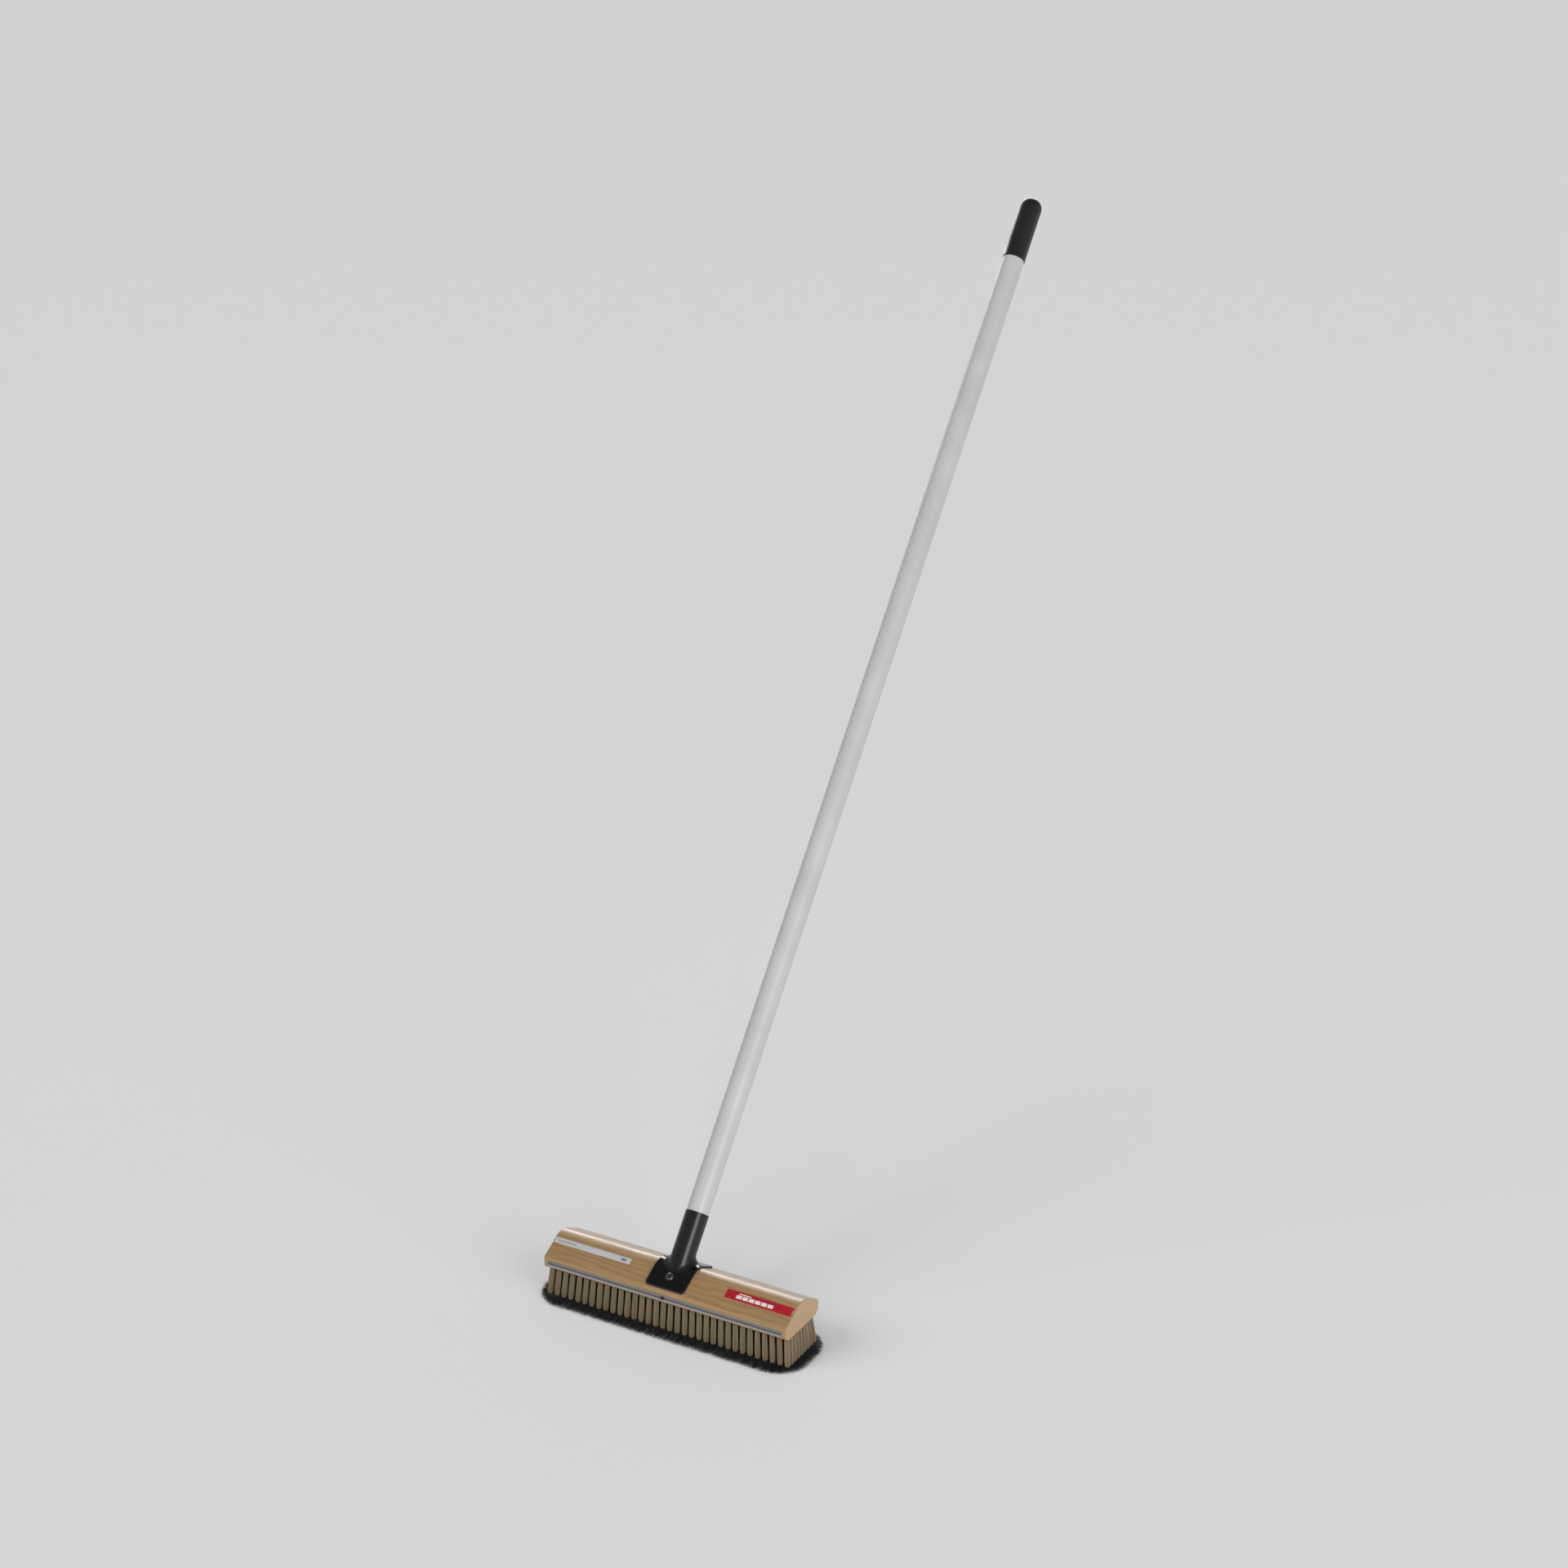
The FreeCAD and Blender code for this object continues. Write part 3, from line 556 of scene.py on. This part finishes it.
def plant_row(node, count, axis, masters, splay, seed):
    """Set copies of the master tufts along a row, leaning outwards, as one piece."""
    rng = random.Random(seed)
    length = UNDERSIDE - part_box(node)[0].z
    copies = []
    for root in tuft_roots(node, count, axis):
        master = rng.choice(masters)
        copy = master.copy()
        copy.data = master.data.copy()
        bpy.context.scene.collection.objects.link(copy)
        lean = Vector((root.x * splay[0] + rng.uniform(-0.4, 0.4) * MM,
                       root.y * splay[1] + rng.uniform(-0.4, 0.4) * MM, -length))
        copy.matrix_world = (Matrix.Translation(root)
                             @ DOWN.rotation_difference(lean).to_matrix().to_4x4()
                             @ Matrix.Rotation(rng.uniform(0, 2 * math.pi), 4, "Z"))
        copies.append(copy)
    deselect()
    for copy in copies:
        copy.select_set(True)
    bpy.context.view_layer.objects.active = copies[0]
    bpy.ops.object.join()
    row = bpy.context.object
    row.name = row.data.name = f"{node}_fibres"
    return settle(row)


def rounded_outline(half_x, half_y, bend, share):
    """Point and outward direction at a share, 0 to 1, of the way round a rounded rectangle."""
    straight_x, straight_y = 2 * (half_x - bend), 2 * (half_y - bend)
    quarter = math.pi * bend / 2
    runs = [straight_x, quarter, straight_y, quarter] * 2
    distance = share * sum(runs)
    heading = -math.pi / 2
    spot = Vector((-(half_x - bend), -half_y))
    for index, run in enumerate(runs):
        along = Vector((-math.sin(heading), math.cos(heading)))
        if index % 2:
            centre = spot - Vector((math.cos(heading), math.sin(heading))) * bend
            angle = heading + min(distance / run, 1) * math.pi / 2
            reached = centre + Vector((math.cos(angle), math.sin(angle))) * bend
            if distance <= run:
                return reached, Vector((math.cos(angle), math.sin(angle)))
            heading += math.pi / 2
            spot = reached
        else:
            if distance <= run:
                return spot + along * distance, Vector((math.cos(heading), math.sin(heading)))
            spot = spot + along * run
        distance -= run
    return spot, Vector((math.cos(heading), math.sin(heading)))


def fibre_fringe():
    """Outer black fibres that turn outwards under the tan border and end near the floor."""
    rng = random.Random(77)
    low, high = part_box("splayed_fibre_ends")
    half_x, half_y = high.x - FRINGE_INSET, high.y - FRINGE_INSET
    strands = []
    for index in range(FRINGE_FIBRES):
        share = (index + rng.random()) / FRINGE_FIBRES
        edge, out = rounded_outline(half_x, half_y, FRINGE_CORNER, share)
        pull = 9 * MM * (1 - rng.random() ** 0.6) + rng.uniform(0, 1.4) * MM
        aside = Vector((-out.y, out.x)) * rng.uniform(-3, 3) * MM
        tip = edge - out * pull
        tip_height = (1.0 + 4.2 * rng.random() ** 1.5) * MM
        ways = ((44, 26), (36, 9), (27, 2.6 + rng.uniform(-0.9, 1.4)),
                (12, 0.8 + 0.55 * tip_height / MM))
        points = []
        for back, height in ways:
            spot = tip - (out * back * MM + aside * back / 44)
            points.append(Vector((spot.x, spot.y, height * MM)))
        points.append(Vector((tip.x, tip.y, tip_height)))
        strands.append(points)
    fringe = strand_mesh("splayed_fibre_fringe", strands, BLACK_FIBRE_RADIUS, 0.4)
    finish_piece(settle(fringe), "head", "black_fibre", BLACK_FIBRE, "splayed_fibre_ends")


def bristles():
    tan_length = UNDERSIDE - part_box("front_tuft_row")[0].z
    black_length = UNDERSIDE - 0.6 * MM
    tan_masters = [tan_tuft(seed, tan_length) for seed in (11, 12, 13, 14)]
    black_masters = [black_tuft(seed, black_length) for seed in (21, 22, 23)]
    rows = [("front_tuft_row", LONG_ROW, "x"), ("rear_tuft_row", LONG_ROW, "x"),
            ("left_tuft_column", END_COLUMN, "y"), ("right_tuft_column", END_COLUMN, "y")]
    for seed, (name, count, axis) in enumerate(rows):
        row = plant_row(name, count, axis, tan_masters, TUFT_SPLAY, seed)
        finish_piece(row, "head", "tan_fibre", TAN_FIBRE, name)
    for number in range(1, 8):
        name = f"black_tuft_row_{number}"
        row = plant_row(name, BLACK_ROW, "x", black_masters, TUFT_SPLAY, 30 + number)
        finish_piece(row, "head", "black_fibre", BLACK_FIBRE, name)
    for master in tan_masters + black_masters:
        bpy.data.objects.remove(master)
    fibre_fringe()


# ---------------------------------------------------------------- screws, grip and labels

def cross_recess(piece, top, width, length, depth):
    """Cut a cross-shaped driver recess into the top of a screw modelled at the origin."""
    for turn in (0, math.pi / 2):
        deselect()
        bpy.ops.mesh.primitive_cube_add(size=1, location=(0, 0, top), rotation=(0, 0, turn),
                                        scale=(length, width, 2 * depth))
        blade = bpy.context.object
        edit(blade)
        select_faces(blade, lambda face: face.normal.z < -0.9)
        bpy.ops.transform.resize(value=(0.6, 0.7, 1), center_override=(0, 0, top))
        bpy.ops.object.mode_set(mode="OBJECT")
        add_modifier(piece, "BOOLEAN", operation="DIFFERENCE", object=blade, solver="EXACT")
        bpy.data.objects.remove(blade)


def domed_screw(name, node, direction, head_radius, head_height, shank_radius, recess):
    """Domed head with a rolled rim, plain shank and point, and a cross recess."""
    apex = tip_of(node, direction)
    length = -span(node, direction, apex)[0] - head_height
    rim = 0.25 * head_height
    dome = [(head_radius * math.cos(a), rim + (head_height - rim) * math.sin(a))
            for a in (math.radians(angle) for angle in range(12, 85, 12))]
    profile = [(0.1 * shank_radius, -length), (shank_radius, shank_radius - length),
               (shank_radius, 0), (head_radius * 0.97, 0), (head_radius, 0.3 * rim),
               (head_radius, rim)]
    screw = turned(name, profile + dome + [(0.1 * head_radius, head_height)])
    cross_recess(screw, head_height, 0.24 * head_radius, 1.05 * head_radius, recess)
    settle(screw, facing(direction, apex - direction * head_height))
    return screw


def screws():
    for side, direction in (("front", FRONT_SLOPE), ("rear", REAR_SLOPE)):
        name = f"{side}_bracket_screw"
        screw = domed_screw(f"{name}_head", name, direction, head_radius=5.6 * MM,
                            head_height=3.0 * MM, shank_radius=2.4 * MM, recess=1.0 * MM)
        finish_piece(screw, "head", "screw_black", SCREW_STEEL, name)
    pin = domed_screw("strip_screw_head", "strip_screw", Vector((0, -1, 0)), head_radius=2.4 * MM,
                      head_height=1.2 * MM, shank_radius=1.4 * MM, recess=0.6 * MM)
    finish_piece(pin, "head", "pin_black", PIN_STEEL, "strip_screw")


def end_grip():
    """Pulled-on sleeve: rolled lip, faint taper and a domed closed end."""
    bottom, top = span("end_grip", HANDLE_AXIS, HANDLE_FOOT)
    tube_top = span("handle_tube", HANDLE_AXIS, HANDLE_FOOT)[1] + 0.1 * MM
    bore, outer = 14.85 * MM, 15.68 * MM
    wall = outer - 0.18 * MM
    shoulder = top - wall
    profile = [(bore, tube_top), (bore, bottom + 0.3 * MM), (bore + 0.1 * MM, bottom)]
    profile += arc_points((outer - 0.5 * MM, bottom + 0.5 * MM), 0.5 * MM, -90, 0, 5)
    profile += [(outer, bottom + 3.0 * MM), (wall, bottom + 3.8 * MM), (wall, bottom + 30 * MM)]
    profile += arc_points((0, shoulder), wall, 0, 86, 14) + [(0.02 * wall, top)]
    grip = turned("end_grip_sleeve", profile, 72)
    settle(grip, facing(HANDLE_AXIS, HANDLE_FOOT))
    finish_piece(grip, "handle", "grip_black", GRIP_VINYL, "end_grip")


LABEL_THICK = 0.3 * MM


def label(node, slot, film, ink, bars):
    """A film label on the front slope; bars are printed shares (x0, y0, x1, y1) of its face."""
    low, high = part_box(node)
    length = high.x - low.x
    width = (high.y - low.y - LABEL_THICK * math.sin(SLOPE)) / math.cos(SLOPE)
    deselect()
    bpy.ops.mesh.primitive_cube_add(size=1, location=(length / 2, width / 2, LABEL_THICK / 2),
                                    scale=(length, width, LABEL_THICK))
    piece = bpy.context.object
    piece.name = piece.data.name = f"{node}_film"
    bpy.ops.object.transform_apply(location=True, rotation=True, scale=True)
    add_modifier(piece, "BEVEL", width=0.1 * MM, segments=2, limit_method="ANGLE")
    cuts = sorted({(0, bar[i] * length) for bar in bars for i in (0, 2)}
                  | {(1, bar[i] * width) for bar in bars for i in (1, 3)})
    activate(piece)
    bpy.ops.object.mode_set(mode="EDIT")
    for axis, place in cuts:
        spot = [place if index == axis else 0 for index in range(3)]
        normal = [1 if index == axis else 0 for index in range(3)]
        bpy.ops.mesh.select_all(action="SELECT")
        bpy.ops.mesh.bisect(plane_co=spot, plane_no=normal)
    bpy.ops.object.mode_set(mode="OBJECT")
    finish_piece(piece, "head", slot, film, node)
    piece.data.materials.append(ink)
    for face in piece.data.polygons:
        x, y = face.center.x / length, face.center.y / width
        printed = any(bar[0] < x < bar[2] and bar[1] < y < bar[3] for bar in bars)
        if printed and face.normal.z > 0.9:
            face.material_index = 1
    origin = Vector((low.x, low.y + LABEL_THICK * math.sin(SLOPE), low.z))
    piece.parent = None
    settle(piece, facing(FRONT_SLOPE, origin))
    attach(piece, "head")


def labels():
    slats = [(0.165 + 0.095 * step, 0.22, 0.245 + 0.095 * step, 0.60) for step in range(6)]
    label("red_label", "label_red", LABEL_RED, WHITE_INK, slats + [(0.19, 0.70, 0.37, 0.80)])
    ticks = [(0.05 + 0.027 * step, 0.34, 0.061 + 0.027 * step, 0.68) for step in range(9)]
    label("silver_label", "label_silver", LABEL_SILVER, GREY_INK,
          ticks + [(0.88, 0.28, 0.945, 0.72)])


# ---------------------------------------------------------------- camera, light and floor

BROOM_MIDDLE = Vector((0, 0, 0.3))


def camera():
    data = bpy.data.cameras.new("camera")
    data.sensor_width = 36.0
    data.lens = 66.78
    data.clip_end = 200.0
    view = bpy.data.objects.new("camera", data)
    view.location = (1.6911, -2.7105, 1.9821)
    view.rotation_euler = (math.radians(90 - 21.42), 0, math.radians(29.59))
    bpy.context.scene.collection.objects.link(view)
    bpy.context.scene.camera = view


def lamp_along(name, kind, heading, energy, **settings):
    """A light that shines along a heading."""
    data = bpy.data.lights.new(name, kind)
    data.energy = energy
    for key, setting in settings.items():
        setattr(data, key, setting)
    lamp = bpy.data.objects.new(name, data)
    lamp.rotation_euler = Vector(heading).to_track_quat("-Z", "Y").to_euler()
    bpy.context.scene.collection.objects.link(lamp)
    return lamp


def softbox(name, place, width, height, power):
    """A rectangular softbox aimed at the broom, which stays out of the picture."""
    lamp = lamp_along(name, "AREA", BROOM_MIDDLE - Vector(place), power, shape="RECTANGLE",
                      size=width, size_y=height)
    lamp.location = place
    lamp.visible_camera = False
    return lamp


def broad_light(name, heading, energy):
    """Even light along a heading, too broad to mirror as a stripe."""
    lamp = lamp_along(name, "SUN", heading, energy, angle=math.radians(40))
    lamp.visible_glossy = False
    return lamp


def light_floor(floor, state, name, lamps):
    """Keep the lamps off the floor (EXCLUDE), or on nothing but the floor (INCLUDE)."""
    receivers = bpy.data.collections.new(name)
    receivers.objects.link(floor)
    receivers.collection_objects[0].light_linking.link_state = state
    for lamp in lamps:
        lamp.light_linking.receiver_collection = receivers


def soft_sky():
    """Pale at the horizon, darker overhead."""
    world = bpy.data.worlds.new("soft_sky")
    bpy.context.scene.world = world
    world.use_nodes = True
    tree = world.node_tree
    direction = tree.nodes.new("ShaderNodeTexCoord").outputs["Generated"]
    height = node(tree, "SeparateXYZ", Vector=direction)
    shade = ramp(tree, height.outputs["Z"], [(0.0, (0.52, 0.52, 0.53)), (0.25, (0.35, 0.35, 0.36)),
                                             (0.8, (0.14, 0.14, 0.145))])
    tree.links.new(shade, tree.nodes["Background"].inputs["Color"])


def studio():
    """Plain pale floor, soft sky and the lamps that shape the broom."""
    deselect()
    bpy.ops.mesh.primitive_plane_add(size=60, location=(0, 0, 0))
    floor = bpy.context.object
    floor.name = "floor"
    material, tree, shader = new_material("floor", Base_Color=(0.86, 0.86, 0.86, 1))
    grain = node(tree, "TexNoise", Vector=object_vector(tree), Scale=30.0, Detail=3.0)
    roughness_from(tree, shader, grain.outputs["Fac"], 0.6, 0.75)
    floor.data.materials.append(material)
    soft_sky()
    broad_light("broad_key", (0.5, 0.6, -0.62), 1.0)
    broad_light("broad_fill", (-0.85, 0.25, -0.45), 0.75)
    light_floor(floor, "EXCLUDE", "spared_floor",
                [softbox("right_strip", (2.5, -1.7, 1.3), 0.7, 1.8, 50),
                 softbox("back_light", (-1.9, 3.5, 1.8), 3.0, 1.4, 100)])
    light_floor(floor, "INCLUDE", "washed_floor", [broad_light("floor_wash", DOWN, 0.9)])
    bpy.context.scene.view_settings.view_transform = "Standard"


camera()
paint_cad_nodes()
bristles()
screws()
end_grip()
labels()
studio()
